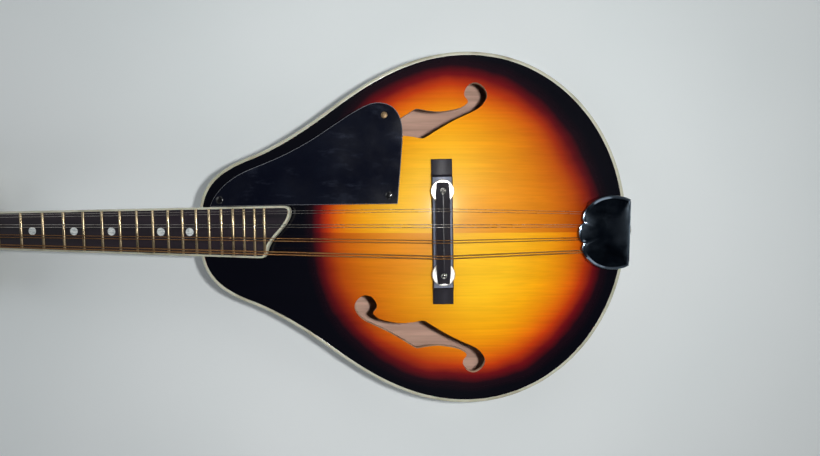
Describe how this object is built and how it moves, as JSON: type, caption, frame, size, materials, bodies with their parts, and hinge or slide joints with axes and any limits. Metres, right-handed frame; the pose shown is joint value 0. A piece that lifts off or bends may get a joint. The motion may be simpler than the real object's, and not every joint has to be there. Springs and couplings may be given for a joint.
{
  "type": "mandolin",
  "caption": "Teardrop mandolin with an arched sunburst top, f-holes, floating bridge, raised pickguard, cloud-shaped tailpiece cover and geared tuners.",
  "frame": {"origin": "middle of the length and width, on the surface that the back and the headstock's tip lie on", "axes": "+X from headstock to tail, +Y to the treble side, +Z out of the top"},
  "size_m": [0.642, 0.2646, 0.0836],
  "materials": {
    "top_wood": "sunburst gloss lacquer",
    "back_wood": "dark gloss lacquer",
    "side_wood": "near-black gloss lacquer",
    "inner_wood": "bare wood",
    "binding": "gloss ivoroid plastic",
    "neck_wood": "dark gloss lacquer",
    "board_wood": "oiled dark wood",
    "fret_wire": "polished",
    "pearl": "pearly plastic",
    "bone": "bone-like plastic",
    "steel": "plain steel",
    "black_plastic": "black gloss plastic",
    "headplate": "black gloss lacquer",
    "nickel": "nickel plate",
    "ebony": "satin black wood",
    "string_steel": "bright plain steel",
    "string_bronze": "wound bronze",
    "button_plastic": "cream gloss plastic"
  },
  "bodies": {
    "instrument": {"top_plate": "top_wood", "back_plate": "back_wood", "rim": "side_wood", "head_block": "inner_wood", "tail_block": "inner_wood", "linings": "inner_wood", "tone_bars": "inner_wood", "body_binding_top": "binding", "body_binding_back": "binding", "neck": "neck_wood", "fingerboard": "board_wood", "fingerboard_binding": "binding", "frets": "fret_wire", "inlays": "pearl", "nut": "bone", "truss_rod": "steel", "truss_rod_cover": "black_plastic", "headplate": "headplate", "tuner_plate_treble": "nickel", "tuner_plate_bass": "nickel", "tuner_bushings": "nickel", "tuner_screws": "nickel", "bridge_base": "ebony", "bridge_posts": "nickel", "tailpiece_base": "nickel", "tailpiece_screws": "nickel", "strap_button": "nickel", "pickguard": "black_plastic", "pickguard_supports": "black_plastic", "trim_screws": "nickel", "plain_strings": "string_steel", "wound_strings": "string_bronze"},
    "knob_1": {"tuner_button_1": "button_plastic", "tuner_shaft_1": "nickel"},
    "post_1": {"string_post_1": "nickel"},
    "knob_2": {"tuner_button_2": "button_plastic", "tuner_shaft_2": "nickel"},
    "post_2": {"string_post_2": "nickel"},
    "knob_3": {"tuner_button_3": "button_plastic", "tuner_shaft_3": "nickel"},
    "post_3": {"string_post_3": "nickel"},
    "knob_4": {"tuner_button_4": "button_plastic", "tuner_shaft_4": "nickel"},
    "post_4": {"string_post_4": "nickel"},
    "knob_5": {"tuner_button_5": "button_plastic", "tuner_shaft_5": "nickel"},
    "post_5": {"string_post_5": "nickel"},
    "knob_6": {"tuner_button_6": "button_plastic", "tuner_shaft_6": "nickel"},
    "post_6": {"string_post_6": "nickel"},
    "knob_7": {"tuner_button_7": "button_plastic", "tuner_shaft_7": "nickel"},
    "post_7": {"string_post_7": "nickel"},
    "knob_8": {"tuner_button_8": "button_plastic", "tuner_shaft_8": "nickel"},
    "post_8": {"string_post_8": "nickel"},
    "bridge_saddle": {"bridge_saddle": "ebony"},
    "wheel_treble": {"thumbwheel_treble": "nickel"},
    "wheel_bass": {"thumbwheel_bass": "nickel"},
    "tailpiece_cover": {"tailpiece_cover": "nickel"}
  },
  "joints": [
    {"name": "knob_1_turn", "type": "hinge", "parent": "instrument", "child": "knob_1", "pos_m": [-0.20434, 0.017, 0.02387], "axis": [0, 1, 0], "continuous": true},
    {"name": "post_1_turn", "type": "hinge", "parent": "instrument", "child": "post_1", "pos_m": [-0.21789, 0.017, 0.03911], "axis": [-0.2453, 0, 0.9694], "continuous": true},
    {"name": "knob_2_turn", "type": "hinge", "parent": "instrument", "child": "knob_2", "pos_m": [-0.22664, 0.017, 0.01823], "axis": [0, 1, 0], "continuous": true},
    {"name": "post_2_turn", "type": "hinge", "parent": "instrument", "child": "post_2", "pos_m": [-0.24019, 0.017, 0.03347], "axis": [-0.2453, 0, 0.9694], "continuous": true},
    {"name": "knob_3_turn", "type": "hinge", "parent": "instrument", "child": "knob_3", "pos_m": [-0.24893, 0.017, 0.01259], "axis": [0, 1, 0], "continuous": true},
    {"name": "post_3_turn", "type": "hinge", "parent": "instrument", "child": "post_3", "pos_m": [-0.26249, 0.017, 0.02783], "axis": [-0.2453, 0, 0.9694], "continuous": true},
    {"name": "knob_4_turn", "type": "hinge", "parent": "instrument", "child": "knob_4", "pos_m": [-0.27123, 0.017, 0.00695], "axis": [0, 1, 0], "continuous": true},
    {"name": "post_4_turn", "type": "hinge", "parent": "instrument", "child": "post_4", "pos_m": [-0.28479, 0.017, 0.02219], "axis": [-0.2453, 0, 0.9694], "continuous": true},
    {"name": "knob_5_turn", "type": "hinge", "parent": "instrument", "child": "knob_5", "pos_m": [-0.20434, -0.017, 0.02387], "axis": [0, -1, 0], "continuous": true},
    {"name": "post_5_turn", "type": "hinge", "parent": "instrument", "child": "post_5", "pos_m": [-0.21789, -0.017, 0.03911], "axis": [-0.2453, 0, 0.9694], "continuous": true},
    {"name": "knob_6_turn", "type": "hinge", "parent": "instrument", "child": "knob_6", "pos_m": [-0.22664, -0.017, 0.01823], "axis": [0, -1, 0], "continuous": true},
    {"name": "post_6_turn", "type": "hinge", "parent": "instrument", "child": "post_6", "pos_m": [-0.24019, -0.017, 0.03347], "axis": [-0.2453, 0, 0.9694], "continuous": true},
    {"name": "knob_7_turn", "type": "hinge", "parent": "instrument", "child": "knob_7", "pos_m": [-0.24893, -0.017, 0.01259], "axis": [0, -1, 0], "continuous": true},
    {"name": "post_7_turn", "type": "hinge", "parent": "instrument", "child": "post_7", "pos_m": [-0.26249, -0.017, 0.02783], "axis": [-0.2453, 0, 0.9694], "continuous": true},
    {"name": "knob_8_turn", "type": "hinge", "parent": "instrument", "child": "knob_8", "pos_m": [-0.27123, -0.017, 0.00695], "axis": [0, -1, 0], "continuous": true},
    {"name": "post_8_turn", "type": "hinge", "parent": "instrument", "child": "post_8", "pos_m": [-0.28479, -0.017, 0.02219], "axis": [-0.2453, 0, 0.9694], "continuous": true},
    {"name": "saddle_height", "type": "slide", "parent": "instrument", "child": "bridge_saddle", "axis": [0, 0, 1], "range_m": [-0.0007, 0.001], "deforming": ["plain_strings", "wound_strings"]},
    {"name": "wheel_treble_turn", "type": "hinge", "parent": "bridge_saddle", "child": "wheel_treble", "pos_m": [0.1713, 0.03019, 0.0745], "axis": [0, 0, 1], "range_deg": [-361, 515.29]},
    {"name": "wheel_bass_turn", "type": "hinge", "parent": "bridge_saddle", "child": "wheel_bass", "pos_m": [0.17235, -0.03019, 0.0745], "axis": [0, 0, 1], "range_deg": [-361, 515.29]},
    {"name": "cover_slide", "type": "slide", "parent": "instrument", "child": "tailpiece_cover", "axis": [-1, 0, 0], "range_m": [0, 0.012]}
  ],
  "couplings": [
    {"joint": "post_1_turn", "follows": "knob_1_turn", "ratio": 0.071429},
    {"joint": "post_2_turn", "follows": "knob_2_turn", "ratio": 0.071429},
    {"joint": "post_3_turn", "follows": "knob_3_turn", "ratio": 0.071429},
    {"joint": "post_4_turn", "follows": "knob_4_turn", "ratio": 0.071429},
    {"joint": "post_5_turn", "follows": "knob_5_turn", "ratio": -0.071429},
    {"joint": "post_6_turn", "follows": "knob_6_turn", "ratio": -0.071429},
    {"joint": "post_7_turn", "follows": "knob_7_turn", "ratio": -0.071429},
    {"joint": "post_8_turn", "follows": "knob_8_turn", "ratio": -0.071429},
    {"joint": "wheel_treble_turn", "follows": "saddle_height", "rad_per_m": 8976},
    {"joint": "wheel_bass_turn", "follows": "saddle_height", "rad_per_m": 8976}
  ]
}
